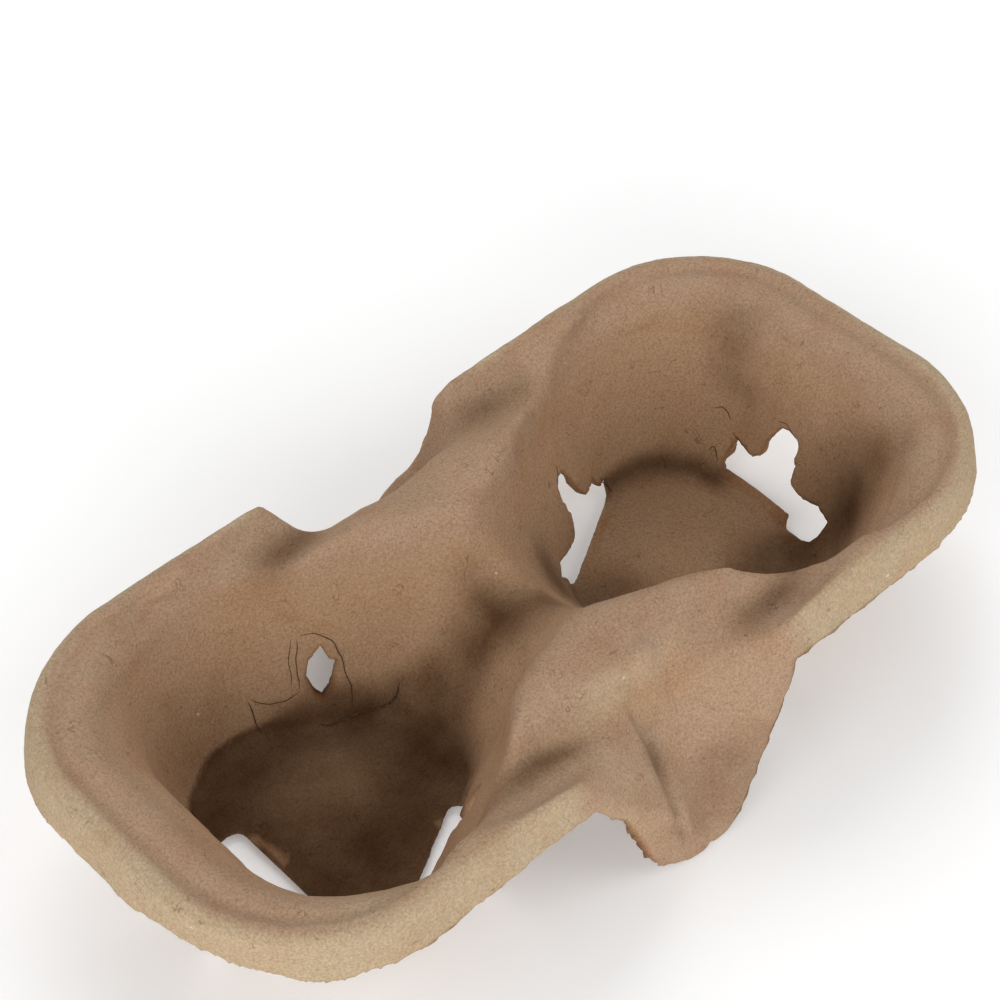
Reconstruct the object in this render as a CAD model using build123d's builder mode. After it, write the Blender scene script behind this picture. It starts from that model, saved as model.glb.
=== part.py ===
# Moulded-pulp carrier for two cups: one thin shell, open underneath, with a bead and a
# skirt round the rim, two three-cornered pockets, a low saddle between them and a
# skirt that runs down to the table as a flap in the middle of each long side.
# Millimetres, +Z up, table at Z = 0.
import os
from math import cos, radians

from build123d import *

# Pulp
wall = 2.2
floor_thickness = 2.4

# Rim, measured on its crest
rim_length = 211.0
rim_width = 100.6
rim_corner = 34.5
rim_height = 44.5
rim_round = 3.0
bead_width = 4.6

# Skirt hanging from the rim
skirt_depth = 11.5
skirt_flare = 2.2

# Pockets, measured from the pocket's own axis; a share is part of the way from the
# floor's outline out to the mouth's
pocket_place = 0.493
floor_flat = 24.6
floor_corner = 28.8
floor_round = 3.0
waist_rise = 22.0
waist_corner = 25.0
waist_end_share = 0.325
waist_side_share = 0.517
waist_neck_share = 0.44
lip_drop = 5.0
lip_corner = 28.5
lip_end_share = 0.572
lip_side_share = 0.917
lip_neck_share = 0.87
neck_radius = 22.0
saddle_overlap = 7.0
saddle_round = 9.0

# Flaps
flap_proud = 8.2
flap_half_width = 25.0
flap_corner = 23.0
flap_root = 40.0
flap_left_top = 29.0
flap_right_top = 31.0
flap_left_bend = 21.5
flap_left_bend_level = 25.0
flap_left_bottom = 13.0
flap_right_bottom = 14.0
flap_right_bend = 22.0
flap_bend_level = 11.0
flap_lift = 0.3
pleat_width = 2.4
pleat_depth = 0.7
pleat_top_level = 35.0

# Scoops above the flaps: the one at -Y opens outwards like a V, the one at +Y is square
ridge_inset = 13.8
scoop_apex_half = 4.0
scoop_spread = 1.9
scoop_corner = 7.0
scoop_foot_level = 7.0
scoop_foot_half = 7.0
scoop_foot_corner = 4.0
scoop_foot_inset = 2.0
scoop_shift = 1.0
back_scoop_half = 22.0
back_scoop_spread = 0.25
back_scoop_shift = 2.5
ridge_roll = 2.0
ridge_drop = 5.0

# Dents between the rim and the shoulders, which run out into the pockets
dent_inset = 9.3
dent_start = -6.0
dent_lead = 10.0
dent_depth = 7.0
dent_lift = 2.0

# Slots at the foot of the three flat sides of each pocket
slot_length = 32.0
slot_height = 4.2
slot_inset = 1.6
side_slot_inset = 3.6
end_slot_inset = 0.2
wide_slot_inset = 6.5
slot_outset = 22.0
stem_width = 5.5
stem_height = 19.0
window_width = 4.6
window_sill = 8.0

# Levels and offsets that follow from the sizes above
pocket_x = pocket_place * rim_length / 2
mouth_end = rim_length / 2 - bead_width - pocket_x
mouth_half_width = rim_width / 2 - bead_width
mouth_corner = rim_corner - bead_width
neck_reach = pocket_x + saddle_overlap
flap_reach = rim_width / 2 + flap_proud
ridge_half_width = rim_width / 2 - ridge_inset
waist_level = floor_thickness + waist_rise
lip_level = rim_height - lip_drop
skirt_level = rim_height - skirt_depth
skirt_half_width = rim_width / 2 + skirt_flare
offset_share = 0.72
cut_margin = 2.0
corner_shift = 2 * (floor_corner - floor_flat)
corner_radius = floor_corner - corner_shift
floor_half_width = corner_radius + corner_shift * cos(radians(30))
waist_end = floor_flat + waist_end_share * (mouth_end - floor_flat)
waist_half_width = floor_half_width + waist_side_share * (mouth_half_width - floor_half_width)
waist_neck = floor_corner + waist_neck_share * (neck_reach - floor_corner)
lip_end = floor_flat + lip_end_share * (mouth_end - floor_flat)
lip_half_width = floor_half_width + lip_side_share * (mouth_half_width - floor_half_width)
lip_neck = floor_corner + lip_neck_share * (neck_reach - floor_corner)


def rounded_triangle(level, end, half_width, corner, reach, neck, grow):
    # One level of a pocket: two round corners at the rim's end, one towards the saddle
    corner_x = end - corner
    corner_y = half_width - corner
    with BuildSketch(Plane.XY.offset(level)) as section:
        with Locations((corner_x, corner_y), (corner_x, -corner_y)):
            Circle(corner + grow)
        with Locations((neck - reach, 0)):
            Circle(neck + grow)
        make_hull()
    return section.sketch


def pocket(offset):
    # Cavity of the pocket on the +X side; an offset gives the outer face of its wall
    grow = offset * offset_share
    foot_level = floor_thickness - grow
    foot = rounded_triangle(
        foot_level, floor_flat, floor_half_width, corner_radius, floor_corner, corner_radius, grow
    )
    waist = rounded_triangle(
        waist_level - grow,
        waist_end,
        waist_half_width,
        waist_corner,
        waist_neck,
        (corner_radius + neck_radius) / 2,
        grow,
    )
    lip = rounded_triangle(
        lip_level - grow, lip_end, lip_half_width, lip_corner, lip_neck, neck_radius, grow
    )
    mouth = rounded_triangle(
        rim_height - grow, mouth_end, mouth_half_width, mouth_corner, neck_reach, neck_radius, grow
    )
    with BuildPart() as cavity:
        loft([foot, waist, lip, mouth])
        if offset == 0:
            fillet(cavity.faces().sort_by(Axis.Z)[0].edges(), floor_round)
            extrude(mouth, amount=cut_margin)
        else:
            extrude(foot, amount=-floor_thickness - cut_margin)
    return Pos(pocket_x, 0, 0) * cavity.part


def rim(offset):
    # Body under the rim's bead and inside its skirt
    lowest = skirt_level if offset == 0 else skirt_level - cut_margin
    flare = skirt_flare * (rim_height - lowest) / skirt_depth
    with BuildPart() as body:
        with BuildSketch(Plane.XY.offset(lowest)):
            RectangleRounded(
                rim_length + 2 * (flare - offset),
                rim_width + 2 * (flare - offset),
                rim_corner + flare - offset,
            )
        with BuildSketch(Plane.XY.offset(rim_height - offset)):
            RectangleRounded(
                rim_length - 2 * offset, rim_width - 2 * offset, rim_corner - offset
            )
        loft(ruled=True)
        fillet(body.faces().sort_by(Axis.Z)[-1].edges(), rim_round - offset * offset_share)
    return body.part


def flap_body(offset):
    # The skirt carried on down to the table, bulging outwards at its lower edge
    lowest = flap_lift if offset == 0 else flap_lift - cut_margin
    with BuildPart() as body:
        with BuildSketch(Plane.XY.offset(lowest)):
            RectangleRounded(
                2 * flap_half_width, 2 * (flap_reach - offset), flap_corner - offset
            )
        with BuildSketch(Plane.XY.offset(skirt_level)):
            RectangleRounded(
                2 * flap_root, 2 * (skirt_half_width - offset), flap_corner / 2 - offset
            )
        loft(ruled=True)
    return body.part


def flap_outline():
    # Trimmed outline of the flap on the -Y side, seen from the front
    with BuildSketch(Plane.XZ) as outline:
        with BuildLine():
            Polyline(
                (-flap_left_bottom, 0),
                (flap_right_bottom, 0),
                (flap_right_bend, flap_bend_level),
                (flap_right_top, skirt_level),
                (-flap_left_top, skirt_level),
                (-flap_left_bend, flap_left_bend_level),
                close=True,
            )
        make_face()
    return outline.sketch


def scoop_section(level, half_inner, inner_y, spread, corner):
    # One level of the scoop: open outwards, with two round corners at its back
    beyond = flap_reach + 2 * scoop_foot_corner
    half_outer = half_inner + spread * (beyond - inner_y)
    with BuildSketch(Plane.XY.offset(level)) as section:
        with BuildLine():
            FilletPolyline(
                (half_outer, -beyond),
                (half_inner, -inner_y),
                (-half_inner, -inner_y),
                (-half_outer, -beyond),
                radius=corner,
            )
            Line((half_outer, -beyond), (-half_outer, -beyond))
        make_face()
    return section.sketch


def scoop(offset, apex_half, spread, shift):
    # Cut above the flap on the -Y side, from the ridge down and out to the flap's middle
    grow = offset * offset_share
    rolled = scoop_section(
        rim_height + cut_margin - grow,
        apex_half + ridge_roll + grow,
        ridge_half_width - ridge_roll - grow,
        spread,
        scoop_corner,
    )
    back = scoop_section(
        rim_height - ridge_drop - grow,
        apex_half + grow,
        ridge_half_width + ridge_roll / 2 - grow,
        spread,
        scoop_corner,
    )
    foot = scoop_section(
        scoop_foot_level - grow,
        scoop_foot_half + grow,
        flap_reach - scoop_foot_inset - grow,
        0,
        scoop_foot_corner,
    )
    with BuildPart() as cutter:
        loft([foot, back, rolled])
    return Pos(shift, 0, 0) * cutter.part


def scoops(offset):
    # The scoop at -Y, and the one at +Y, drawn at -Y and turned half round
    front = scoop(offset, scoop_apex_half, scoop_spread, scoop_shift)
    back = scoop(offset, back_scoop_half, back_scoop_spread, back_scoop_shift)
    return [front, Rot(0, 0, 180) * back]


def dent(offset):
    # Spindle-shaped hollow beside the rim, in the +X +Y quarter
    grow = offset * offset_share
    start = dent_start - grow
    finish = pocket_x + dent_lead + grow
    with BuildPart() as spindle:
        with BuildSketch():
            with BuildLine():
                ThreePointArc(
                    (start, 0), ((start + finish) / 2, dent_depth + dent_lift + grow), (finish, 0)
                )
                Line((finish, 0), (start, 0))
            make_face()
        revolve(axis=Axis.X)
    return Pos(0, rim_width / 2 - dent_inset, rim_height + dent_lift) * spindle.part


def saddle_edges(body):
    # Edges in the plane midway between the pockets, where their walls meet
    across = body.edges().filter_by_position(Axis.X, -0.01, 0.01)
    return across.filter_by_position(Axis.Y, -neck_radius, neck_radius)


def pleat(offset_top, top_level, offset_bottom, bottom_level):
    # Straight length of the groove pressed down the middle of the -Y flap
    top = Vector(0, -offset_top, top_level)
    bottom = Vector(0, -offset_bottom, bottom_level)
    run = top - bottom
    with BuildPart() as groove:
        with BuildSketch(Plane(origin=bottom, x_dir=(1, 0, 0), z_dir=run)):
            with BuildLine():
                Polyline(
                    (-pleat_width, -pleat_depth),
                    (pleat_width, -pleat_depth),
                    (0, pleat_depth),
                    close=True,
                )
            make_face()
        extrude(amount=run.length)
    return Pos(scoop_shift, 0, 0) * groove.part


def slot(turn, inset, sill, stem):
    # Cut-out at the foot of one flat side of the +X pocket
    foot = Plane(origin=(floor_flat - inset, 0, 0), x_dir=(0, 1, 0), z_dir=(1, 0, 0))
    with BuildPart() as cutter:
        with BuildSketch(foot):
            if sill == 0:
                with Locations((0, -cut_margin)):
                    Rectangle(
                        slot_length,
                        floor_thickness + slot_height + cut_margin,
                        align=(Align.CENTER, Align.MIN),
                    )
            with Locations((0, floor_thickness + sill)):
                Rectangle(stem, stem_height - sill, align=(Align.CENTER, Align.MIN))
        extrude(amount=slot_outset)
        fillet(cutter.edges().filter_by(Axis.X).group_by(Axis.Z)[-1], stem / 3)
    return Pos(pocket_x, 0, 0) * Rot(0, 0, turn) * cutter.part


def both_ways(piece):
    # The piece and its mirror image across the saddle
    return [piece, mirror(piece, about=Plane.YZ, mode=Mode.PRIVATE)]


def half_turn(piece):
    # The piece and a copy turned half round, one for each long side
    return [piece, Rot(0, 0, 180) * piece]


def four_ways(piece):
    # The piece in all four quarters
    pair = both_ways(piece)
    return pair + [mirror(half, about=Plane.XZ, mode=Mode.PRIVATE) for half in pair]


pocket_walls = both_ways(pocket(wall))
pocket_cavities = both_ways(pocket(0))

# Hollow under the rim, the ridges and the saddle
with BuildPart() as hollow:
    add(rim(wall))
    add(flap_body(wall))
    add(scoops(wall), mode=Mode.SUBTRACT)
    add(four_ways(dent(wall)), mode=Mode.SUBTRACT)
    add(pocket_walls, mode=Mode.SUBTRACT)
    fillet(saddle_edges(hollow.part), saddle_round - wall)

# Flap on the -Y side, trimmed to its outline
with BuildPart() as flap:
    add(flap_body(0))
    extrude(flap_outline(), amount=flap_reach, mode=Mode.INTERSECT)

# Cut-outs: every slot is open except one, where the pulp has closed all but a window
end_slot = slot(0, end_slot_inset, 0, stem_width)
right_slots = [end_slot] + [slot(turn, slot_inset, 0, stem_width) for turn in (120, 240)]
wide_slot = slot(0, wide_slot_inset, 0, stem_width)
side_slot = slot(240, side_slot_inset, 0, stem_width)
window = slot(120, slot_inset, window_sill, window_width)
left_slots = [
    mirror(cut, about=Plane.YZ, mode=Mode.PRIVATE) for cut in (wide_slot, side_slot, window)
]

# Pleat down the scoop and on down the flap below it
scoop_foot_y = flap_reach - scoop_foot_inset
back_y = ridge_half_width + ridge_roll / 2
scoop_run = (scoop_foot_y - back_y) / (rim_height - ridge_drop - scoop_foot_level)
pleat_top_y = scoop_foot_y - scoop_run * (pleat_top_level - scoop_foot_level)
flap_run = (flap_reach - skirt_half_width) / (skirt_level - flap_lift)
lower_pleat_level = scoop_foot_level + cut_margin
lower_pleat_y = flap_reach - flap_run * (lower_pleat_level - flap_lift)
upper_pleat = pleat(pleat_top_y, pleat_top_level, scoop_foot_y, scoop_foot_level)
lower_pleat = pleat(lower_pleat_y, lower_pleat_level, flap_reach, flap_lift)

with BuildPart() as cup_carrier:
    add(rim(0))
    add(half_turn(flap.part))
    add(scoops(0), mode=Mode.SUBTRACT)
    add(pocket_walls)
    add(four_ways(dent(0)), mode=Mode.SUBTRACT)
    split(bisect_by=Plane.XY, keep=Keep.TOP)
    add(pocket_cavities, mode=Mode.SUBTRACT)
    fillet(saddle_edges(cup_carrier.part), saddle_round)
    add(hollow.part, mode=Mode.SUBTRACT)
    add(half_turn(upper_pleat), mode=Mode.SUBTRACT)
    add(half_turn(lower_pleat), mode=Mode.SUBTRACT)
    add(right_slots + left_slots, mode=Mode.SUBTRACT)

os.makedirs("parts", exist_ok=True)
cup_carrier.part.label = "cup_carrier"
export_step(cup_carrier.part, "parts/cup_carrier.step")
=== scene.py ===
from math import cos, radians, sin

import bpy
import numpy as np
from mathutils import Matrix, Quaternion, Vector
from mathutils.noise import noise_vector, seed_set


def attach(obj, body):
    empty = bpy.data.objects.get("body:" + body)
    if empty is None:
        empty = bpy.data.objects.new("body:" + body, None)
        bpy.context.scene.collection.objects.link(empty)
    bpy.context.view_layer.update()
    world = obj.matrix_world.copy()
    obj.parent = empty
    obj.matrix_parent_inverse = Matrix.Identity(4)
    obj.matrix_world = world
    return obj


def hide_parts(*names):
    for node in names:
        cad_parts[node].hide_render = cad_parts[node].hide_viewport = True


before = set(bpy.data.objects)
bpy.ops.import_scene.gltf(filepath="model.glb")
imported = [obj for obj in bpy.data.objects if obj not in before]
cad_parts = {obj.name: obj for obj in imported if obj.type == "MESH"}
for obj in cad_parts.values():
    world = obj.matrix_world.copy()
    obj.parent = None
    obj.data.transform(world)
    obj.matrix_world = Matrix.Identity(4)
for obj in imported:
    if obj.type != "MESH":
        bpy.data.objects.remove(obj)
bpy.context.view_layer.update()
print("stage: frame loaded")


# Small tools: the carrier's sizes are in millimetres, and Blender takes metres

perMetre = 1000
weightSteps = 60
noiseSeed = 7                # without a seed the noise starts from the clock
rimCrest = {"halfLength": 105.5, "halfWidth": 50.3, "corner": 34.5}

seed_set(noiseSeed)


def onlyActive(piece):
    bpy.ops.object.select_all(action="DESELECT")
    piece.hide_set(False)
    piece.select_set(True)
    bpy.context.view_layer.objects.active = piece


def applyAll(piece):
    onlyActive(piece)
    for modifier in list(piece.modifiers):
        bpy.ops.object.modifier_apply(modifier=modifier.name)


def facedOutward():
    # every face of the active mesh looks outward
    bpy.ops.object.mode_set(mode="EDIT")
    bpy.ops.mesh.select_all(action="SELECT")
    bpy.ops.mesh.normals_make_consistent(inside=False)
    bpy.ops.object.mode_set(mode="OBJECT")


def coordsOf(piece):
    coords = np.empty(len(piece.data.vertices) * 3)
    piece.data.vertices.foreach_get("co", coords)
    return coords.reshape(-1, 3) * perMetre


def normalsOf(piece):
    normals = np.empty(len(piece.data.vertices) * 3)
    piece.data.vertices.foreach_get("normal", normals)
    return normals.reshape(-1, 3)


def weigh(piece, name, weights):
    group = piece.vertex_groups.new(name=name)
    steps = np.round(np.clip(weights, 0, 1) * weightSteps).astype(int)
    for step in range(1, weightSteps + 1):
        members = np.nonzero(steps == step)[0]
        if len(members):
            group.add(members.tolist(), step / weightSteps, "REPLACE")


def ramp(values, none, full):
    # a smooth step from 0 at none to 1 at full
    share = np.clip((values - none) / (full - none), 0, 1)
    return share * share * (3 - 2 * share)


def awayFrom(coords, points):
    # distance of every vertex from the line through the points
    best = np.full(len(coords), np.inf)
    for start, end in zip(points[:-1], points[1:]):
        first = np.array(start, float)
        run = np.array(end, float) - first
        along = np.clip(((coords - first) @ run) / (run @ run), 0, 1)
        nearest = first + along[:, None] * run
        best = np.minimum(best, np.linalg.norm(coords - nearest, axis=1))
    return best


def fromRim(coords):
    # signed distance from the rim's crest seen from above, inside is negative
    overX = np.abs(coords[:, 0]) - (rimCrest["halfLength"] - rimCrest["corner"])
    overY = np.abs(coords[:, 1]) - (rimCrest["halfWidth"] - rimCrest["corner"])
    outside = np.hypot(np.maximum(overX, 0), np.maximum(overY, 0))
    return outside + np.minimum(np.maximum(overX, overY), 0) - rimCrest["corner"]


def zone(coords, limits):
    # 1 in a region and 0 outside it: each limit is a measure, where it gives none and where all,
    # and one that gives both at the same value is a plain step up
    measures = {
        "x": coords[:, 0],
        "y": coords[:, 1],
        "z": coords[:, 2],
        "absX": np.abs(coords[:, 0]),
        "absY": np.abs(coords[:, 1]),
        "rim": fromRim(coords),
    }
    weights = np.ones(len(coords))
    for measure, none, full in limits:
        values = measures[measure]
        weights = weights * (values > none if none == full else ramp(values, none, full))
    return weights


# The carrier: a copy of the frame's own mesh, its slots torn to shape, made even and pressed soft

carrier = {
    "voxel": 0.95,
    "weldDistance": 1e-6,    # metres
    "smoothing": 0.5,        # strength of one round
    "rounds": {"": 4, "shoulders": 22, "neck": 50, "corners": 45},   # the first is all over
    "softZones": {
        "shoulders": [("absX", 62, 40), ("z", 26, 34), ("absY", 56, 50)],
        "mouths": [("z", 34, 41), ("absY", 49, 45), ("absX", 103, 98)],
        "neck": [("absX", 64, 46), ("absY", 48, 42), ("z", 22, 32)],
    },
    "mouthShare": 0.5,
    "cornerPlace": (34, 34, 43),   # where a shoulder meets a mouth, in every quarter
    "cornerReach": (16, 6),
    "kept": 0.76,            # share of the triangles
}

tornSlots = {
    "pocketPlace": 52.0,
    "reach": (19, 42),
    # side of the tray, turn about the pocket's axis, and the outline as (across, height) on the wall
    "outlines": {
        "endSlot": (1, 0, [
            (13.6, 11.4), (11.4, 10.2), (8.3, 9.1), (6.0, 11.0), (5.9, 14.0), (4.3, 18.0), (2.3, 21.4),
            (0.1, 22.3), (-1.7, 19.4), (-3.4, 14.2), (-3.4, 9.7), (-7.8, 8.1), (-12.9, 9.3),
            (-17.6, 9.2), (-16.6, 4.1), (-12.8, 2.9), (-10.5, 2.9), (-5.9, 3.5), (1.2, 4.0),
            (9.2, 4.0), (13.3, 3.7), (14.0, 9.0)]),
        "sideSlot": (1, 120, [
            (-1.4, 20.7), (-2.8, 17.9), (-3.7, 14.2), (-5.3, 10.9), (-8.0, 10.3), (-10.5, 11.2),
            (-11.9, 8.3), (-14.6, 3.6), (-8.8, 3.0), (-3.0, 3.0), (4.8, 3.0), (12.0, 3.0),
            (16.5, 6.5), (20.3, 11.0), (16.1, 10.9), (10.7, 8.1), (5.5, 6.3), (3.7, 10.2),
            (1.7, 13.8), (2.4, 18.4), (1.2, 20.7)]),
        "window": (-1, 120, [
            (2.0, 21.5), (3.5, 18.5), (5.4, 17.9), (4.2, 14.6), (2.9, 11.2), (1.2, 9.3), (-0.4, 10.7),
            (-1.9, 14.8), (-0.9, 18.2), (0.6, 19.8)]),
    },
    # films of pulp left across the slots: a box on the wall or floor, whose lean is the wall's slope
    "films": {
        "windowFilm": {"side": -1, "turn": 120, "across": (-5.0, 6.5), "height": (8.0, 24.0),
                       "outward": (25.9, 27.5), "lean": 0.352},
        "endFloorFilm": {"side": -1, "turn": 0, "across": (12.2, 17.5), "height": (0.7, 2.3),
                         "outward": (16.5, 24.5), "lean": 0},
        "endWallFilm": {"side": -1, "turn": 0, "across": (11.8, 17.5), "height": (0.7, 7.6),
                        "outward": (22.6, 24.4), "lean": 0.33},
        "sideFloorFilm": {"side": -1, "turn": 240, "across": (-17.5, -10.0), "height": (0.7, 2.3),
                          "outward": (18.5, 24.0), "lean": 0},
        "sideWallFilm": {"side": -1, "turn": 240, "across": (-17.5, -9.6), "height": (0.7, 7.6),
                         "outward": (22.0, 23.8), "lean": 0.36},
        "farEndFilm": {"side": 1, "turn": 0, "across": (13.6, 17.5), "height": (0.7, 8.0),
                       "outward": (23.2, 25.0), "lean": 0.4},
        "farFloorFilm": {"side": 1, "turn": 0, "across": (-7.5, 14.0), "height": (0.7, 4.1),
                         "outward": (22.6, 25.6), "lean": 0.6},
    },
}


def onWall(side, turn, outward, across, height):
    # a point given in a slot's own directions, in metres
    angle = radians(turn)
    x = tornSlots["pocketPlace"] + outward * cos(angle) - across * sin(angle)
    y = outward * sin(angle) + across * cos(angle)
    return Vector((side * x, y, height)) / perMetre


def copyOfNode(name, newName):
    bpy.ops.object.select_all(action="DESELECT")
    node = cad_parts[name]
    node.select_set(True)
    bpy.context.view_layer.objects.active = node
    bpy.ops.object.duplicate()
    piece = bpy.context.active_object
    piece.name = newName
    piece.data.name = newName
    piece.parent = None
    for key in list(piece.keys()):
        del piece[key]
    bpy.ops.object.mode_set(mode="EDIT")
    bpy.ops.mesh.select_all(action="SELECT")
    bpy.ops.mesh.remove_doubles(threshold=carrier["weldDistance"])
    bpy.ops.object.mode_set(mode="OBJECT")
    return piece


def filmed(piece):
    # closed slabs, made one with the wall by the remesh
    for film in tornSlots["films"].values():
        bpy.ops.object.select_all(action="DESELECT")
        bpy.ops.mesh.primitive_cube_add(size=2)
        slab = bpy.context.active_object
        for vertex in slab.data.vertices:
            across = film["across"][vertex.co.x > 0]
            height = film["height"][vertex.co.y > 0]
            outward = film["outward"][vertex.co.z > 0] + film["lean"] * (height - film["height"][0])
            vertex.co = onWall(film["side"], film["turn"], outward, across, height)
        facedOutward()
        piece.select_set(True)
        bpy.context.view_layer.objects.active = piece
        bpy.ops.object.join()


def remeshed(piece):
    remesh = piece.modifiers.new("even", "REMESH")
    remesh.mode = "VOXEL"
    remesh.voxel_size = carrier["voxel"] / perMetre
    remesh.use_smooth_shade = True
    applyAll(piece)


def cutThrough(piece, name, outline, run):
    # the outline's points and the run of the cut are in metres
    bpy.ops.object.select_all(action="DESELECT")
    bpy.ops.mesh.primitive_circle_add(vertices=len(outline), fill_type="NGON")
    cutter = bpy.context.active_object
    for vertex, place in zip(cutter.data.vertices, outline):
        vertex.co = place
    bpy.ops.object.mode_set(mode="EDIT")
    bpy.ops.mesh.select_all(action="SELECT")
    bpy.ops.mesh.extrude_region_move(TRANSFORM_OT_translate={"value": run})
    bpy.ops.object.mode_set(mode="OBJECT")
    facedOutward()
    cut = piece.modifiers.new(name, "BOOLEAN")
    cut.operation = "DIFFERENCE"
    cut.solver = "EXACT"
    cut.object = cutter
    applyAll(piece)
    bpy.data.objects.remove(cutter)


def torn(piece):
    near, far = tornSlots["reach"]
    for name, (side, turn, outline) in tornSlots["outlines"].items():
        places = [onWall(side, turn, near, across, height) for across, height in outline]
        run = onWall(side, turn, far, 0, 0) - onWall(side, turn, near, 0, 0)
        cutThrough(piece, name, places, run)


# The flaps' edges, as (along, up): the near flap is torn on its right, the far one is even

flaps = {
    "left": [(-30, 33), (-21.5, 25), (-13, 0.3)],
    "tornRight": [(32.5, 31.2), (29.8, 29.4), (27.9, 27.0), (25.6, 24.6), (24.0, 21.0), (21.4, 18.4),
                  (19.8, 15.2), (17.2, 12.2), (15.7, 9.0), (13.3, 6.4), (11.4, 3.6), (8.0, 1.4),
                  (5.0, -1.0)],
    "evenRight": [(14, 0.3), (22, 11), (31, 33)],
    "clearOfFlap": 44.0,     # how far along the cut goes
    "cutFront": -75,         # where the cut starts, and how deep it is
    "cutDepth": 28,
    "outOfMiddle": 43,       # the flaps lie farther out than this
}
nearFlapEdge = flaps["left"] + flaps["tornRight"][::-1]
farFlapEdge = flaps["left"] + flaps["evenRight"]


def tornFlap(piece):
    tear = flaps["tornRight"]
    outline = tear + [(flaps["clearOfFlap"], tear[-1][1]), (flaps["clearOfFlap"], tear[0][1])]
    places = [Vector((along, flaps["cutFront"], up)) / perMetre for along, up in outline]
    cutThrough(piece, "flapTear", places, Vector((0, flaps["cutDepth"], 0)) / perMetre)


def fromFlapEdge(coords):
    # distance from the edge of the flap on the vertex's own side
    x, y, z = coords[:, 0], coords[:, 1], coords[:, 2]
    nearAway, farAway = (
        awayFrom(np.stack([along, np.zeros(len(z)), z], 1), [(edge, 0, up) for edge, up in outline])
        for along, outline in ((x, nearFlapEdge), (-x, farFlapEdge)))
    return np.where(np.abs(y) > flaps["outOfMiddle"], np.where(y < 0, nearAway, farAway), np.inf)


def softened(piece):
    coords = coordsOf(piece)
    zones = {name: zone(coords, limits) for name, limits in carrier["softZones"].items()}
    weigh(piece, "shoulders", np.maximum(zones["shoulders"], carrier["mouthShare"] * zones["mouths"]))
    weigh(piece, "neck", zones["neck"])
    away = np.linalg.norm(np.abs(coords) - np.array(carrier["cornerPlace"]), axis=1)
    weigh(piece, "corners", ramp(away, *carrier["cornerReach"]))
    for group, rounds in carrier["rounds"].items():
        smooth = piece.modifiers.new("soften", "SMOOTH")
        smooth.factor = carrier["smoothing"]
        smooth.iterations = rounds
        smooth.vertex_group = group
    applyAll(piece)


def cloud(name, size, depth):
    texture = bpy.data.textures.new(name, "CLOUDS")
    texture.noise_scale = size / perMetre
    texture.noise_depth = depth
    texture.noise_basis = "ORIGINAL_PERLIN"
    return texture


def displaced(piece, group, direction, rise, texture=None):
    # a plain push, or one half up and half down with a texture
    push = piece.modifiers.new(group, "DISPLACE")
    push.direction = direction
    push.strength = rise / perMetre
    push.mid_level = 0.5 if texture else 0.0
    if texture:
        push.texture = texture
        push.texture_coords = "LOCAL"
    push.vertex_group = group
    applyAll(piece)


def pushed(piece, group, push):
    for direction, length in zip("XYZ", push):
        if length:
            displaced(piece, group, direction, length)


# Creases, ribs and grooves pressed into the pulp

creases = {
    "lines": {               # line, half its width, its rise
        "pleatGroove": ([(-5.8, -41.5, 35.5), (-5.6, -45.5, 28.7), (-6.3, -50.7, 21.6), (-7.2, -56.1, 13.3)],
                        2.8, -1.2),
        "pleatRib": ([(1.1, -35.8, 43.4), (1.0, -40.8, 32.5), (0.1, -46.3, 22.7), (-1.6, -50.3, 16.8),
                      (-3.0, -56.5, 9.0)], 5.0, 0.8),
        "frontRidge": ([(1.1, -35.8, 43.4), (-10.6, -34.8, 43.6), (-22.0, -33.5, 41.5)], 2.9, 0.85),
        "upperRidge": ([(1.3, -35.6, 44.0), (13.4, -34.5, 42.5), (19.7, -31.0, 42.5)], 3.6, 0.7),
        "slopeCrease": ([(4.7, 2.1, 29.9), (-4.8, -0.3, 29.7), (-10.9, 1.6, 23.2)], 2.0, -0.8),
        "backPleat": ([(4.0, 41.5, 34.0), (4.5, 46.0, 27.0), (5.0, 51.0, 20.0)], 2.4, -1.1),
    },
    "bands": {               # along the rim at both ends: how far inside it, half the width, the rise
        "endGroove": (5.4, 2.0, -1.1),
        "endLip": (10.5, 4.8, 1.1),
    },
    "bandZone": [("absX", 48, 68), ("z", 33, 37)],
    "bandFacing": (0.1, 0.4),   # only where the pulp looks up
}


def creased(piece):
    for name, (line, halfWidth, rise) in creases["lines"].items():
        away = awayFrom(coordsOf(piece), line)
        weigh(piece, name, ramp(away, halfWidth, 0))
        displaced(piece, name, "NORMAL", rise)
    coords = coordsOf(piece)
    ends = zone(coords, creases["bandZone"]) * ramp(normalsOf(piece)[:, 2], *creases["bandFacing"])
    for name, (inside, halfWidth, rise) in creases["bands"].items():
        weigh(piece, name, ends * ramp(np.abs(fromRim(coords) + inside), halfWidth, 0))
        displaced(piece, name, "NORMAL", rise)


# Places where the pulp swells past the even shape

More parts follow.
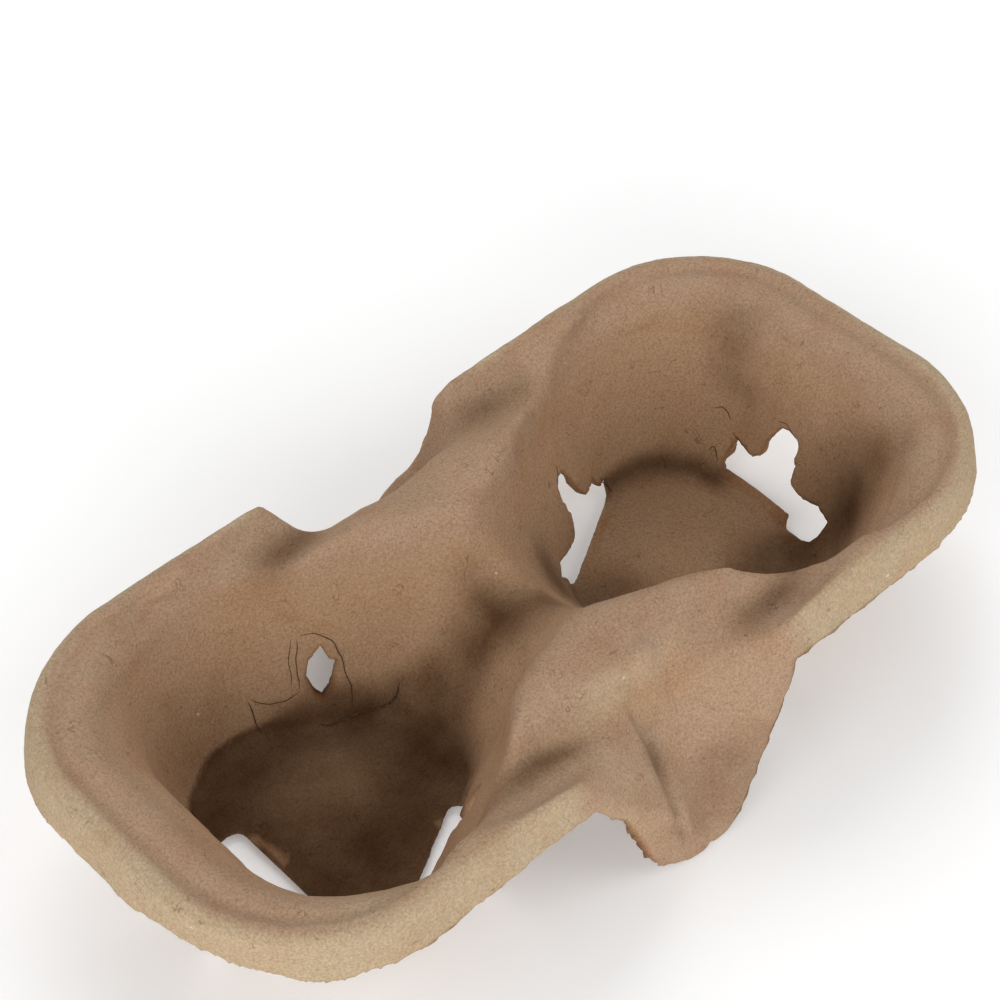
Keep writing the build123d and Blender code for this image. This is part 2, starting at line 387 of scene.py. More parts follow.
swells = {
    "places": {              # centre, radius, push
        "nearShoulder": ((-17.0, -27.0, 38.0), 13.0, (-3.4, 3.0, 0.0)),
        "nearDome": ((27.0, -30.0, 44.0), 17.0, (0.0, 1.2, 1.5)),
        "farShoulder": ((15.0, 28.0, 40.0), 13.0, (1.5, -1.0, 0.6)),
        "farScoop": ((-4.0, 34.5, 44.0), 8.5, (0.0, -2.0, -1.6)),
        "farScoopSide": ((12.5, 51.0, 25.0), 9.0, (1.0, -1.0, -3.5)),
        "farTab": ((24.0, 52.5, 37.5), 4.0, (-2.8, 0.0, 0.4)),
        "flapTip": ((-13.5, -57.0, 1.0), 6.0, (1.0, 0.0, 2.0)),
    },
    "fadeBelow": (18, 6),    # below the centre: none, all
    "rim": {                 # parts of the rim and its hem: limits, push
        "nearEnd": ([("x", -78, -106), ("z", 26, 34), ("y", -36, -6)], (-1.7, 0, 0)),
        "nearCorner": ([("x", -74, -98), ("y", -2, -20), ("y", -47, -34), ("z", 44, 36), ("z", 26, 30),
                        ("rim", -5, -2)], (1.3, 0, 1.4)),
        "nearHem": ([("x", 28, 34), ("x", 62, 48), ("y", -42, -47), ("z", 42, 35), ("z", 30, 30)],
                    (0, 0, -1.2)),
        "farCorner": ([("x", 66, 100), ("y", 14, -24), ("z", 26, 34)], (2.0, 0, 0)),
    },
}


def swollen(piece):
    none, full = swells["fadeBelow"]
    for name, (centre, radius, push) in swells["places"].items():
        coords = coordsOf(piece)
        away = np.linalg.norm(coords - np.array(centre), axis=1)
        fade = ramp(coords[:, 2], centre[2] - none, centre[2] - full)
        weigh(piece, name, np.exp(-(away / radius) ** 2) * fade)
        pushed(piece, name, push)
    coords = coordsOf(piece)
    for name, (limits, push) in swells["rim"].items():
        weigh(piece, name, zone(coords, limits))
    for name, (limits, push) in swells["rim"].items():
        pushed(piece, name, push)


# Ragged edges and an uneven surface

unevenness = {
    "skirtEdge": [("z", 37, 33.5), ("rim", -4, -2), ("absX", 24, 30), ("z", 31, 31)],
    "flapEdge": (3.2, 0.6),
    "tears": (2.2, 2),       # size and depth of the noise
    "waves": (8.8, 1),
    "skirtTear": 2.6,
    "flapTearAlong": 2.4,
    "flapTearUp": 1.6,
    "offTable": [("z", 0.1, 1.6)],   # the feet stay flat
    "layers": {              # size and depth of the noise, height from trough to crest
        "lumps": (11, 2, 0.8),
        "grain": (2.8, 3, 0.24),
    },
}


def ragged(piece):
    coords = coordsOf(piece)
    weigh(piece, "skirtEdge", zone(coords, unevenness["skirtEdge"]))
    weigh(piece, "flapEdge", ramp(fromFlapEdge(coords), *unevenness["flapEdge"]))
    tears = cloud("tears", *unevenness["tears"])
    waves = cloud("waves", *unevenness["waves"])
    displaced(piece, "skirtEdge", "Z", unevenness["skirtTear"], tears)
    displaced(piece, "skirtEdge", "Z", unevenness["skirtTear"], waves)
    displaced(piece, "flapEdge", "X", unevenness["flapTearAlong"], tears)
    displaced(piece, "flapEdge", "Z", unevenness["flapTearUp"], waves)


def lumpy(piece):
    weigh(piece, "offTable", zone(coordsOf(piece), unevenness["offTable"]))
    for name, (size, depth, height) in unevenness["layers"].items():
        displaced(piece, "offTable", "NORMAL", height, cloud(name, size, depth))


def thinned(piece):
    thin = piece.modifiers.new("thin", "DECIMATE")
    thin.ratio = carrier["kept"]
    applyAll(piece)


pulpShell = copyOfNode("cup_carrier", "pulpShell")
filmed(pulpShell)
remeshed(pulpShell)
print("stage: shell remeshed,", len(pulpShell.data.polygons), "faces")
torn(pulpShell)
tornFlap(pulpShell)
softened(pulpShell)
creased(pulpShell)
swollen(pulpShell)
ragged(pulpShell)
lumpy(pulpShell)
thinned(pulpShell)
onlyActive(pulpShell)
bpy.ops.object.shade_smooth()
print("stage: shell pressed,", len(pulpShell.data.polygons), "faces")


# Marks of use, and painted shade and painted light, painted as attributes

hem = [("rim", -4, -2), ("absX", 27, 31), ("z", 30, 30)]   # the skirt's lower edge

marks = {
    "wander": 3.5,           # how far brushes stray from a plain round, and over what length
    "wanderLength": 14.0,
    "streakWander": 0.8,
    "brushTightness": 1.15,
    "brushes": [             # place, radii, strength
        # painted shade in the saddle's hollow
        ((-4.7, 1.4, 29.8), (8, 10, 9), 0.95),     # saddle, towards the near pocket
        ((-1.0, -4.0, 30.5), (9, 9, 7), 0.45),
        ((-13.4, 1.5, 20.2), (8, 8, 11), 0.6),
        ((-20.0, 6.0, 12.0), (9, 9, 8), 0.7),
        ((16.8, 5.3, 15.8), (9, 9, 11), 0.8),      # foot of the saddle in the far pocket
        ((19.1, 12.6, 18.0), (6, 7, 7), 0.5),
        # painted shade in the far pocket's right-hand corner
        ((80.6, -22.3, 17.0), (13, 13, 17), 0.95), # far pocket, right-hand corner
        # the far pocket's floor darker: partly a real stain, partly painted shade
        ((72.4, -16.0, 2.4), (16, 12, 9), 0.75),   # far pocket's floor
        ((55.0, -14.0, 2.4), (26, 9, 8), 0.5),
        ((31.4, 3.0, 2.4), (12, 10, 9), 0.65),
        # painted shade in the corners of the far pocket's far wall
        ((86.5, 20.0, 33.0), (9, 9, 13), 0.42),    # far wall
        ((84.4, 14.5, 25.1), (7, 7, 9), 0.25),
        # painted shade in the dents beside the rim
        ((-33.5, -39.8, 37.5), (14, 4.6, 6), 0.8), # dents beside the rim
        ((33.0, -40.6, 37.5), (13, 4.6, 6), 0.8),
        ((-29.6, 40.4, 37.6), (13, 4.8, 6), 0.65),
        ((31.4, 40.5, 37.6), (13, 4.8, 6), 0.65),
        # painted shade on the far pocket's right wall
        ((86.0, -26.0, 33.0), (9, 10, 10), 0.4),   # far pocket's right wall
        ((26.0, 10.0, 5.0), (7, 7, 7), 0.6),       # far pocket, foot of the saddle again
        ((9.0, -54.5, 15.0), (11, 8, 13), 0.38),   # flap
        ((-6.0, -57.0, 6.0), (12, 6, 6), 0.12),
        # painted shade in the pleat's groove
        ((-5.8, -47.5, 26.0), (2.2, 7, 9), 0.5),   # pleat
        ((-62.0, 27.0, 13.0), (16, 14, 14), 0.2),  # near pocket's wall and the foot of its window
        ((-38.0, 22.0, 9.0), (14, 9, 5), 0.55),
    ],
    "streaks": [             # line, radius, strength
        ([(52.6, 27.2, 4.4), (58.6, 28.0, 4.2), (63.8, 27.2, 4.4), (68.3, 25.0, 4.0), (71.6, 21.5, 3.2),
          (74.3, 17.6, 3.0), (75.4, 13.3, 2.7)], 3.4, 0.8),
        # painted shade along the crease down the saddle's slope
        ([(2.8, -3.0, 30.9), (-5.4, -1.0, 29.2), (-11.3, 0.6, 22.6)], 4.5, 0.5),
        # painted shade along the pleat's groove
        ([(-5.8, -42.0, 35.0), (-5.6, -45.5, 28.7), (-6.1, -49.0, 24.0)], 1.2, 0.6),
        ([(-6.6, -53.5, 17.5), (-7.2, -56.1, 13.3), (-7.0, -57.5, 8.0)], 0.9, 0.4),
        # painted shade along the crack in the near pocket's floor
        ([(-36.0, 20.0, 3.0), (-31.2, 16.2, 4.3), (-26.3, 12.8, 6.3), (-23.7, 13.0, 10.9)], 3.0, 0.5),
    ],
    # darker along the skirt's lower edge and along the flap's edge
    "hemDarker": (0.5, hem + [("z", 33.8, 32.8)]),   # strength, limits
    "hemAmber": (0.35, hem + [("z", 35, 33)]),
    "flapEdgeDarker": (0.5, (1.2, 0.2)),                 # strength, reach from the edge
    "flapAmber": (0.7, (2.2, 0.4)),
    "flapAmberHeight": (30, 22),
    "slotAmber": (0.55, (1.2, 0.2)),
    "slotDepth": (20, 36),   # from the pocket's axis
    "amberLines": [
        [(-71.5, 9.5, 2.4), (-69.5, 7.6, 2.4), (-68.4, 3.7, 2.4), (-68.7, -1.3, 2.4)],
        [(-34.0, -15.0, 6.0), (-35.5, -15.5, 3.0), (-38.5, -16.5, 2.4)],
    ],
    "lineAmber": (0.4, (1.6, 0.5)),
    "lineClean": (0.7, (1.3, 0.4)),                 # the stain lifts along these lines
    "lineWander": 0.5,
    # painted light along the near rim, a painted highlight along the front ridge, painted light on the near
    # flap's upper left
    "paintedLightBrushes": [         # place, radii, strength
        ((-74.0, -45.0, 44.0), (26, 7, 6), 0.6),
        ((-13.0, -36.5, 42.5), (17, 3.2, 5), 0.7),
        ((-19.0, -50.5, 30.0), (7, 8, 9), 0.6),
    ],
    # the skirts: a greyer-yellow tone, partly painted light on their lit outer sides
    "paleSkirt": [("rim", -2.6, -0.9), ("z", 30, 33), ("absX", 27, 36)],
    # painted bounce light: the pockets' insides warmer and deeper
    "bounceWarmth": [("rim", -6, -12), ("z", 43, 34)],
}

floorStain = {               # the near pocket's floor, dark up to a tide line
    "strength": 0.88,
    "centre": -48,           # along x
    "reach": (44, 38),
    "end": -4,
    "tide": 6.5,             # height of the line, and its rise towards the saddle
    "tideRise": 2.0,
    "riseAlong": (-50, -38),
    "tideWander": 1.0,
    "soft": 1.0,             # half the height of its fade, which is wider towards the saddle
    "softRise": 6.0,
    "softAlong": (-52, -36),
    "lighterMiddle": 0.45,            # a paler patch in the middle
    "lighterMiddlePlace": (-47, 9),
    "lighterMiddleRadius": 13,
    "lighterMiddleSquash": 1.2,
    "rim": 0.35,             # a darker line just under the tide, on the far side from the saddle
    "rimDrop": 0.5,
    "rimWidth": 0.9,
    "rimAlong": (-42, -52),
}


def paint(piece, name, values):
    layer = piece.data.attributes.new(name, "FLOAT", "POINT")
    layer.data.foreach_set("value", np.clip(values, 0, 1).astype(np.float32))


def brushed(coords, brush, tightness=1.0):
    # a soft round mark, strongest at its centre
    centre, radii, strength = brush
    away = np.linalg.norm((coords - np.array(centre)) / np.array(radii), axis=1)
    return strength * np.exp(-(away * tightness) ** 2)


def edged(away, edge):
    strength, reach = edge
    return strength * ramp(away, *reach)


def cleanFloor(coords, stray):
    x, y, z = coords[:, 0], coords[:, 1], coords[:, 2]
    shape = floorStain
    tide = shape["tide"] + shape["tideRise"] * ramp(x, *shape["riseAlong"])
    tide = tide + shape["tideWander"] * stray[:, 0]
    soft = shape["soft"] + shape["softRise"] * ramp(x, *shape["softAlong"])
    pocket = ramp(np.hypot(x - shape["centre"], y), *shape["reach"]) * (x < shape["end"])
    stainAndShade = pocket * ramp(z, tide + soft, tide - soft)
    strayed = coords + marks["wander"] * stray
    lighterMiddleX = strayed[:, 0] - shape["lighterMiddlePlace"][0]
    lighterMiddleY = (strayed[:, 1] - shape["lighterMiddlePlace"][1]) * shape["lighterMiddleSquash"]
    lighterMiddle = shape["lighterMiddle"] * np.exp(-(np.hypot(lighterMiddleX, lighterMiddleY) / shape["lighterMiddleRadius"]) ** 2)
    below = (z - tide + shape["rimDrop"]) / shape["rimWidth"]
    rim = pocket * np.exp(-below ** 2) * ramp(x, *shape["rimAlong"])
    return (1 - shape["strength"] * stainAndShade * (1 - lighterMiddle)) * (1 - shape["rim"] * rim)


# darker marks: real stains, and painted shade in the saddle's hollow, the pockets' corners, the dents, the
# creases and the pleat
def stainAndShadeOf(coords, stray):
    unmarked = np.ones(len(coords))
    for brush in marks["brushes"]:
        unmarked *= 1 - brushed(coords + marks["wander"] * stray, brush, marks["brushTightness"])
    for line, radius, strength in marks["streaks"]:
        away = awayFrom(coords + marks["streakWander"] * stray, line)
        unmarked *= 1 - strength * np.exp(-(away / radius) ** 2)
    strength, limits = marks["hemDarker"]
    unmarked *= 1 - strength * zone(coords, limits)
    unmarked *= 1 - edged(fromFlapEdge(coords), marks["flapEdgeDarker"])
    unmarked *= cleanFloor(coords, stray)
    for line in marks["amberLines"]:
        away = awayFrom(coords + marks["lineWander"] * stray, line)
        unmarked = np.maximum(unmarked, edged(away, marks["lineClean"]))
    return 1 - unmarked


# the skirts' paler tone with painted light, and painted light on the rim, ridge and flap
def paleToneAndLightOf(coords, stray):
    pale = zone(coords, marks["paleSkirt"])
    for brush in marks["paintedLightBrushes"]:
        pale = np.maximum(pale, brushed(coords + marks["wander"] * stray, brush))
    return pale


def fromSlot(coords, side, turn, outline):
    # distance of every vertex from a slot's torn edge, for those near its wall
    angle = radians(turn)
    x = coords[:, 0] * side - tornSlots["pocketPlace"]
    y, z = coords[:, 1], coords[:, 2]
    flat = np.stack([y * cos(angle) - x * sin(angle), np.zeros(len(z)), z], 1)
    outward = x * cos(angle) + y * sin(angle)
    away = awayFrom(flat, [(across, 0, up) for across, up in outline + outline[:1]])
    near, far = marks["slotDepth"]
    return np.where((outward > near) & (outward < far), away, np.inf)


def amberOf(coords):
    strength, limits = marks["hemAmber"]
    flap = edged(fromFlapEdge(coords), marks["flapAmber"]) * ramp(coords[:, 2], *marks["flapAmberHeight"])
    amber = np.maximum(flap, strength * zone(coords, limits))
    for side, turn, outline in tornSlots["outlines"].values():
        amber = np.maximum(amber, edged(fromSlot(coords, side, turn, outline), marks["slotAmber"]))
    for line in marks["amberLines"]:
        amber = np.maximum(amber, edged(awayFrom(coords, line), marks["lineAmber"]))
    return amber


def painted(piece):
    coords = coordsOf(piece)
    stray = np.array([noise_vector(Vector(spot)) for spot in coords / marks["wanderLength"]])
    paint(piece, "stainAndShade", stainAndShadeOf(coords, stray))
    paint(piece, "skirt", paleToneAndLightOf(coords, stray))
    paint(piece, "bounceWarmth", zone(coords, marks["bounceWarmth"]))
    paint(piece, "amber", amberOf(coords))


painted(pulpShell)
print("stage: marks painted")


# Pulp: matt brown fibre with grain, loose fibres, specks and old stains, with painted shade, painted bounce
# light and painted light laid over them

pulp = {
    "base": (0.362, 0.240, 0.155, 1),
    "pale": (0.440, 0.305, 0.203, 1),
    "dark": (0.270, 0.168, 0.100, 1),
    "blush": (1.05, 0.94, 0.86, 1),       # from here to amber: a tint of what is under it
    # the tint of real stains and of painted shade
    "stainAndShade": (0.21, 0.154, 0.098, 1),
    # lifts the skirts' tone, partly painted light
    "skirt": (1.14, 1.30, 1.30, 1),
    # painted bounce light inside the pockets
    "bounceWarmth": (1.00, 0.94, 0.84, 1),
    "amber": (0.80, 0.60, 0.42, 1),
    "fibre": (0.135, 0.078, 0.044, 1),
    "speck": (0.62, 0.50, 0.36, 1),
    "strength": {"cloud": 0.2, "blush": 0.5, "fibre": 0.6, "skirt": 1.0, "bounceWarmth": 0.9, "amber": 0.9,
                 "stainAndShade": 1.0, "speck": 0.8},
    "darkAt": 0.34,          # values of the grain that take the dark, base and pale colours
    "baseAt": 0.5,
    "paleAt": 0.66,
    "blushSpan": (0.42, 0.66),
    "amberSpan": (0.4, 1.05),
    "stainAndShadeSpan": (0.3, 1.25),
    "breakUp": 0.55,         # how far the clouds break up a mark's edge
    "roughness": 0.93,
    "specular": 0.2,
    "bump": 0.16,
    "bumpDepth": 0.3,
    "scales": {"Grain scale": 1800, "Cloud scale": 90, "Fibre scale": 210, "Speck scale": 190},
}

grainShape = {
    "scales": {"Grain scale": 900, "Cloud scale": 70, "Fibre scale": 130, "Speck scale": 170},
    "grain": (6, 0.7, 0.0),  # detail, roughness and distortion of the noise
    "clouds": (4, 0.55, 0.0),
    "twist": (1.5, 0.5, 0.9),
    "gaps": (2, 0.5, 0.0),
    "fibreLevel": 0.5,
    "fibreWidth": 0.012,
    "fibreGaps": (0.50, 0.60),
    "speckEdge": (0.11, 0.05),
    "speckShare": (0.955, 0.965),
    "heights": {"grain": 0.75, "clouds": 0.5, "fibre": 0.25},
}


def grainGroup():
    group = bpy.data.node_groups.new("pulpGrain", "ShaderNodeTree")
    face = group.interface
    face.new_socket("Vector", in_out="INPUT", socket_type="NodeSocketVector")
    for name, value in grainShape["scales"].items():
        face.new_socket(name, in_out="INPUT", socket_type="NodeSocketFloat").default_value = value
    for name in ("Grain", "Cloud", "Fibre", "Speck", "Height"):
        face.new_socket(name, in_out="OUTPUT", socket_type="NodeSocketFloat")
    nodes, links = group.nodes, group.links
    start, end = nodes.new("NodeGroupInput"), nodes.new("NodeGroupOutput")

    def noise(scale, shape):
        node = nodes.new("ShaderNodeTexNoise")
        for name, value in zip(("Detail", "Roughness", "Distortion"), shape):
            node.inputs[name].default_value = value
        links.new(start.outputs["Vector"], node.inputs["Vector"])
        links.new(start.outputs[scale], node.inputs["Scale"])
        return node.outputs["Fac"]

    def sums(operation, *values):
        node = nodes.new("ShaderNodeMath")
        node.operation = operation
        for place, value in enumerate(values):
            if isinstance(value, (int, float)):
                node.inputs[place].default_value = value
            else:
                links.new(value, node.inputs[place])
        return node.outputs[0]

    def between(value, low, high, falling=False):
        # a smooth step from low to high, up or down
        node = nodes.new("ShaderNodeMapRange")
        node.interpolation_type = "SMOOTHSTEP"
        node.inputs["From Min"].default_value = low
        node.inputs["From Max"].default_value = high
        node.inputs["To Min"].default_value = 1.0 if falling else 0.0
        node.inputs["To Max"].default_value = 0.0 if falling else 1.0
        links.new(value, node.inputs["Value"])
        return node.outputs["Result"]

    grain = noise("Grain scale", grainShape["grain"])
    clouds = noise("Cloud scale", grainShape["clouds"])
    # loose fibres: thin level lines of a twisted noise, broken into short lengths
    twist = noise("Fibre scale", grainShape["twist"])
    offLevel = sums("ABSOLUTE", sums("SUBTRACT", twist, grainShape["fibreLevel"]))
    line = between(offLevel, 0.0, grainShape["fibreWidth"], falling=True)
    gaps = noise("Speck scale", grainShape["gaps"])
    fibre = sums("MULTIPLY", line, between(gaps, *grainShape["fibreGaps"]))
    # pale flecks in a few cells
    cells = nodes.new("ShaderNodeTexVoronoi")
    links.new(start.outputs["Vector"], cells.inputs["Vector"])
    links.new(start.outputs["Speck scale"], cells.inputs["Scale"])
    split = nodes.new("ShaderNodeSeparateColor")
    links.new(cells.outputs["Color"], split.inputs["Color"])
    outer, inner = grainShape["speckEdge"]
    speck = sums("MULTIPLY", between(cells.outputs["Distance"], inner, outer, falling=True),
                 between(split.outputs["Red"], *grainShape["speckShare"]))
    shares = grainShape["heights"]
    height = sums("MULTIPLY", grain, shares["grain"])
    height = sums("ADD", height, sums("MULTIPLY", clouds, shares["clouds"]))
    height = sums("ADD", height, sums("MULTIPLY", fibre, shares["fibre"]))
    for name, value in (("Grain", grain), ("Cloud", clouds), ("Fibre", fibre), ("Speck", speck),
                        ("Height", height)):
        links.new(value, end.inputs[name])
    return group


pulpGrain = grainGroup()


def mattMaterial(name, roughness, specular):
    material = bpy.data.materials.new(name)
    material.use_nodes = True
    shader = material.node_tree.nodes["Principled BSDF"]
    shader.inputs["Roughness"].default_value = roughness
    shader.inputs["Specular IOR Level"].default_value = specular
    return material, shader


def grainOn(material):
    nodes, links = material.node_tree.nodes, material.node_tree.links
    place = nodes.new("ShaderNodeTexCoord")
    grain = nodes.new("ShaderNodeGroup")
    grain.node_tree = pulpGrain
    links.new(place.outputs["Object"], grain.inputs["Vector"])
    return grain


def toned(material, value, low, high):
    # a colour ramp between two stops, each a place and a colour
    tones = material.node_tree.nodes.new("ShaderNodeValToRGB")
    for stop, (place, colour) in zip(tones.color_ramp.elements, (low, high)):
        stop.position = place
        stop.color = colour
    material.node_tree.links.new(value, tones.inputs["Fac"])
    return tones


def pulpMaterial():
    material, shader = mattMaterial("mouldedPulp", pulp["roughness"], pulp["specular"])
    nodes, links = material.node_tree.nodes, material.node_tree.links
    grain = grainOn(material)
    for name, value in pulp["scales"].items():
        grain.inputs[name].default_value = value

    def mark(name):
        node = nodes.new("ShaderNodeAttribute")
        node.attribute_name = name
        return node.outputs["Fac"]

    def spanned(value, low, high):
        span = nodes.new("ShaderNodeMapRange")
        links.new(value, span.inputs["Value"])
        span.inputs["From Min"].default_value = low
        span.inputs["From Max"].default_value = high
        return span.outputs["Result"]

    def broken(mask, low, high):
        # a painted mark with its edge broken up by the pulp's own clouds
        add = nodes.new("ShaderNodeMath")
        add.operation = "MULTIPLY_ADD"
        links.new(grain.outputs["Cloud"], add.inputs[0])
        add.inputs[1].default_value = pulp["breakUp"]
        links.new(mask, add.inputs[2])
        return spanned(add.outputs[0], low, high)

    def mixed(under, over, mask, strength, blend="MIX"):
        node = nodes.new("ShaderNodeMix")
        node.data_type = "RGBA"
        node.blend_type = blend
        underSocket, overSocket = (socket for socket in node.inputs if socket.type == "RGBA")
        links.new(under, underSocket)
        overSocket.default_value = over
        gain = nodes.new("ShaderNodeMath")
        gain.operation = "MULTIPLY"
        gain.use_clamp = True
        links.new(mask, gain.inputs[0])
        gain.inputs[1].default_value = strength
        links.new(gain.outputs[0], node.inputs["Factor"])
        return next(socket for socket in node.outputs if socket.type == "RGBA")

    def tinted(under, name, mask):
        return mixed(under, pulp[name], mask, pulp["strength"][name], "MULTIPLY")

    def covered(under, name, mask):
        return mixed(under, pulp[name], mask, pulp["strength"][name])

    tones = toned(material, grain.outputs["Grain"], (pulp["darkAt"], pulp["dark"]),
                  (pulp["paleAt"], pulp["pale"]))
    tones.color_ramp.elements.new(pulp["baseAt"]).color = pulp["base"]
    clouds = grain.outputs["Cloud"]
    colour = mixed(tones.outputs["Color"], pulp["dark"], clouds, pulp["strength"]["cloud"])
    colour = tinted(colour, "blush", spanned(clouds, *pulp["blushSpan"]))
    colour = covered(colour, "fibre", grain.outputs["Fibre"])
    # paler tone and painted light
    colour = tinted(colour, "skirt", mark("skirt"))
    # painted bounce light
    colour = tinted(colour, "bounceWarmth", mark("bounceWarmth"))
    colour = tinted(colour, "amber", broken(mark("amber"), *pulp["amberSpan"]))
    # real stains and painted shade
    colour = tinted(colour, "stainAndShade", broken(mark("stainAndShade"), *pulp["stainAndShadeSpan"]))
    colour = covered(colour, "speck", grain.outputs["Speck"])
    links.new(colour, shader.inputs["Base Color"])
    bump = nodes.new("ShaderNodeBump")
    bump.inputs["Strength"].default_value = pulp["bump"]
    bump.inputs["Distance"].default_value = pulp["bumpDepth"] / perMetre
    links.new(grain.outputs["Height"], bump.inputs["Height"])
    links.new(bump.outputs["Normal"], shader.inputs["Normal"])
    return material


pulpShell.data.materials.clear()
pulpShell.data.materials.append(pulpMaterial())
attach(pulpShell, "root")
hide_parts("cup_carrier")
print("stage: pulp coloured")


# Loose fibres, and painted shade along the raised edges of torn films, a floor crack and a wall crease: thin
# threads lying on the pulp

threads = {
    "thick": 0.24,
    "lift": 0.4,             # share of the thickness
    "step": 0.8,
    "fewestPoints": 4,
    "stray": 0.5,
    "strayLength": 2.5,
    "tip": 0.35,             # thickness at the ends, as a share
    "taper": 5,              # the ends thin out over one part in this many
    "order": 3,
    "roundSteps": 1,
    "lengthSteps": 3,
    # near-black: real hairs, and painted shade for the raised edges, the crack and the crease
    "colour": (0.022, 0.012, 0.007, 1),
    "paleColour": (0.15, 0.085, 0.045, 1),
    "colourAt": 0.35,        # values of the grain that take these colours
    "paleAt": 0.7,
    "roughness": 0.9,
    "specular": 0.2,
    "lines": {               # line, share of the thickness
        # painted shade along the window's raised flash edges
        "windowLeft": ([(-38.7, 28.5, 23.9), (-40.7, 26.9, 18.6), (-41.7, 25.3, 13.0)], 0.8),
        "windowLeftOuter": ([(-39.9, 29.4, 24.2), (-42.0, 27.8, 18.0), (-42.8, 26.3, 13.5)], 0.6),
        "windowTop": ([(-37.9, 28.4, 24.6), (-35.1, 26.7, 24.5), (-32.7, 24.4, 22.6), (-32.0, 22.2, 18.9),
                       (-32.3, 20.3, 13.9), (-32.4, 18.9, 9.5), (-33.0, 18.1, 5.8)], 0.9),
        "windowFoot": ([(-41.8, 25.1, 12.5), (-45.0, 26.1, 10.9), (-48.6, 27.5, 11.0),
                        (-51.5, 29.9, 13.1)], 0.8),
        # a dark tube for the shaded gap of a crack in the floor: painted shade
        "floorCrack": ([(-40.2, 20.6, 3.4), (-37.7, 18.8, 2.9), (-34.3, 17.7, 3.5), (-31.2, 16.2, 4.3),
                        (-28.6, 14.3, 4.8), (-26.3, 12.8, 6.3), (-24.5, 12.7, 9.1),
                        (-23.7, 13.0, 10.9)], 2.6),
        # painted shade in a crease of the wall
        "wallCrease": ([(-52.0, 30.0, 12.7), (-52.0, 28.1, 8.2), (-51.8, 27.1, 4.7)], 1.1),
        # real loose hairs
        "hookHair": ([(80.8, 20.6, 17.1), (82.0, 19.0, 18.1), (82.1, 17.0, 16.9), (81.7, 16.2, 15.4)], 0.9),
        "tornHair": ([(77.0, 17.9, 7.6), (77.9, 17.6, 8.9), (77.9, 16.1, 7.7), (77.5, 15.0, 6.1)], 0.9),
        # painted shade along the slots' raised edges
        "slotLip": ([(80.8, 14.8, 12.7), (81.1, 12.7, 11.7), (81.2, 9.4, 9.5)], 0.9),
        "slotTop": ([(84.7, 3.5, 23.2), (84.9, 0.6, 24.0), (84.3, -1.9, 21.0)], 0.7),
        "sideLip": ([(36.4, 27.4, 24.3), (35.7, 25.6, 21.6), (35.4, 23.9, 18.4)], 0.8),
        "sideCorner": ([(51.3, 28.0, 8.9), (52.6, 27.6, 5.1), (54.1, 26.7, 3.0)], 1.0),
    },
}


def laidOn(piece, line):
    # points at even steps along the line, each laid on the nearest spot of the piece, in metres
    points = np.array(line, float)
    lengths = np.concatenate([[0], np.cumsum(np.linalg.norm(np.diff(points, axis=0), axis=1))])
    count = max(threads["fewestPoints"], int(lengths[-1] / threads["step"]))
    laid = []
    for along in np.linspace(0, lengths[-1], count):
        spot = Vector([np.interp(along, lengths, points[:, axis]) for axis in range(3)])
        spot += threads["stray"] * noise_vector(spot / threads["strayLength"])
        found, place, normal, face = piece.closest_point_on_mesh(spot / perMetre)
        laid.append(place + normal * threads["thick"] * (threads["lift"] / perMetre))
    return laid


def thread(name, line, share):
    laid = laidOn(pulpShell, line)
    bpy.ops.object.select_all(action="DESELECT")
    bpy.ops.curve.primitive_bezier_curve_add()
    piece = bpy.context.active_object
    piece.name = name
    curve = piece.data
    curve.splines.clear()
    spline = curve.splines.new("NURBS")
    spline.points.add(len(laid) - 1)
    for index, (point, place) in enumerate(zip(spline.points, laid)):
        along = index / (len(laid) - 1)
        point.co = (*place, 1)
        fullness = min(1, threads["taper"] * along, threads["taper"] * (1 - along))
        point.radius = threads["tip"] + (1 - threads["tip"]) * fullness
    spline.order_u = threads["order"]
    spline.use_endpoint_u = True
    curve.dimensions = "3D"
    curve.bevel_depth = threads["thick"] * share / 2 / perMetre
    curve.bevel_resolution = threads["roundSteps"]
    curve.resolution_u = threads["lengthSteps"]
    curve.use_fill_caps = True
    bpy.ops.object.convert(target="MESH")
    return piece


def joinedThreads(name):
    made = [thread(lineName, line, share) for lineName, (line, share) in threads["lines"].items()]
    bpy.ops.object.select_all(action="DESELECT")
    for piece in made:
        piece.select_set(True)
    bpy.context.view_layer.objects.active = made[0]
    bpy.ops.object.join()
    made[0].name = name
    bpy.ops.object.shade_smooth()
    return made[0]


def threadMaterial():
    material, shader = mattMaterial("fibreAndShadeLine", threads["roughness"], threads["specular"])
    grain = grainOn(material)
    tones = toned(material, grain.outputs["Grain"], (threads["colourAt"], threads["colour"]),
                  (threads["paleAt"], threads["paleColour"]))
    material.node_tree.links.new(tones.outputs["Color"], shader.inputs["Base Color"])
    return material


fibresAndShadeLines = joinedThreads("fibresAndShadeLines")
fibresAndShadeLines.data.materials.clear()
fibresAndShadeLines.data.materials.append(threadMaterial())
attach(fibresAndShadeLines, "root")
print("stage: loose fibres laid")


# Floor, light and camera, in metres

studio = {
    "floorSize": 6.0,
    "floorHeight": -0.0002,  # just clear of the feet
    "floorColour": (0.90, 0.90, 0.90, 1),
    "floorRoughness": 0.9,
    "floorSpecular": 0.1,
    "floorGlow": 0.15,       # a lit table, as under product shots
    "white": (1, 1, 1, 1),
    "skyStrength": 0.24,
    "lampSize": 1.3,
    "lampTarget": (0, 0, 0.03),
    "lamps": {               # place and power
        "frontLamp": ((-0.9, -1.2, 0.50), 14.0),
        "leftLamp": ((-1.2, -0.1, 0.70), 8.5),
        "rightLamp": ((0.9, -1.0, 0.80), 8.5),
        "backLamp": ((0.6, 1.0, 1.10), 13.0),
    },
}

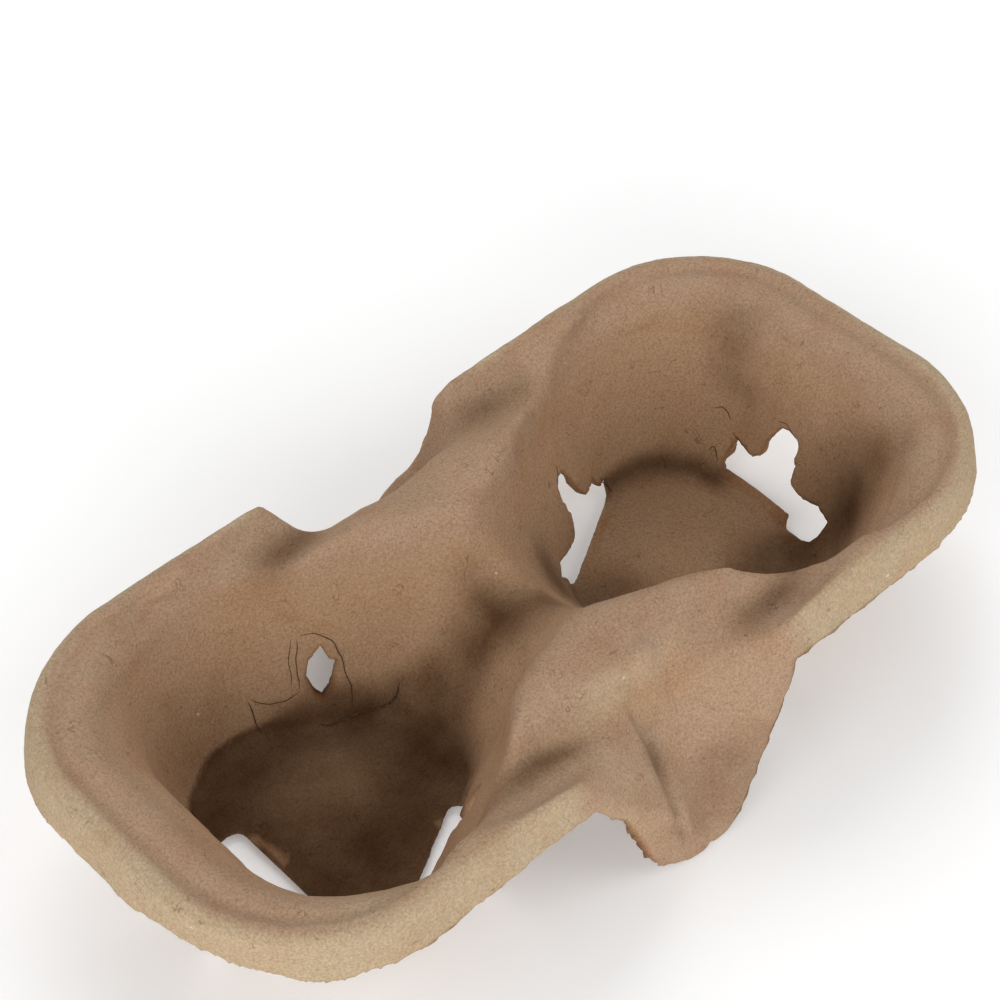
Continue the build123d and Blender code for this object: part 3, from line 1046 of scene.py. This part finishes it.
bpy.ops.object.select_all(action="DESELECT")
bpy.ops.mesh.primitive_plane_add(size=studio["floorSize"], location=(0, 0, studio["floorHeight"]))
floor = bpy.context.active_object
floor.name = "floor"
floorMaterial, floorShader = mattMaterial("paleFloor", studio["floorRoughness"], studio["floorSpecular"])
floorShader.inputs["Base Color"].default_value = studio["floorColour"]
floorShader.inputs["Emission Color"].default_value = studio["white"]
floorShader.inputs["Emission Strength"].default_value = studio["floorGlow"]
floor.data.materials.append(floorMaterial)


def softbox(name, place, power):
    bpy.ops.object.light_add(type="AREA", location=place)
    light = bpy.context.active_object
    light.name = name
    light.data.shape = "DISK"
    light.data.size = studio["lampSize"]
    light.data.energy = power
    aim = Vector(studio["lampTarget"]) - Vector(place)
    light.rotation_euler = aim.to_track_quat("-Z", "Y").to_euler()


for lampName, (lampPlace, lampPower) in studio["lamps"].items():
    softbox(lampName, lampPlace, lampPower)

world = bpy.data.worlds.new("studioSky")
bpy.context.scene.world = world
world.use_nodes = True
sky = world.node_tree.nodes["Background"]
sky.inputs["Color"].default_value = studio["white"]
sky.inputs["Strength"].default_value = studio["skyStrength"]
bpy.context.scene.view_settings.view_transform = "Standard"

eye = {
    "azimuth": -42.22,       # degrees
    "elevation": 47.64,
    "roll": -0.59,
    "distance": 0.56047,
    "target": (0.00774, 0.01474, 0.0445),
    "lens": 94.775,          # millimetres, as the sensor
    "sensor": 36,
    "clip": (0.01, 50),
}

turn, rise = radians(eye["azimuth"]), radians(eye["elevation"])
back = Vector((sin(turn) * cos(rise), -cos(turn) * cos(rise), sin(rise)))
bpy.ops.object.camera_add(location=Vector(eye["target"]) + back * eye["distance"])
camera = bpy.context.active_object
camera.name = "photoCamera"
camera.data.sensor_width = eye["sensor"]
camera.data.lens = eye["lens"]
camera.data.clip_start, camera.data.clip_end = eye["clip"]
camera.rotation_mode = "QUATERNION"
upright = (-back).to_track_quat("-Z", "Y")
camera.rotation_quaternion = upright @ Quaternion((0, 0, 1), radians(eye["roll"]))
bpy.context.scene.camera = camera
print("stage: studio set")
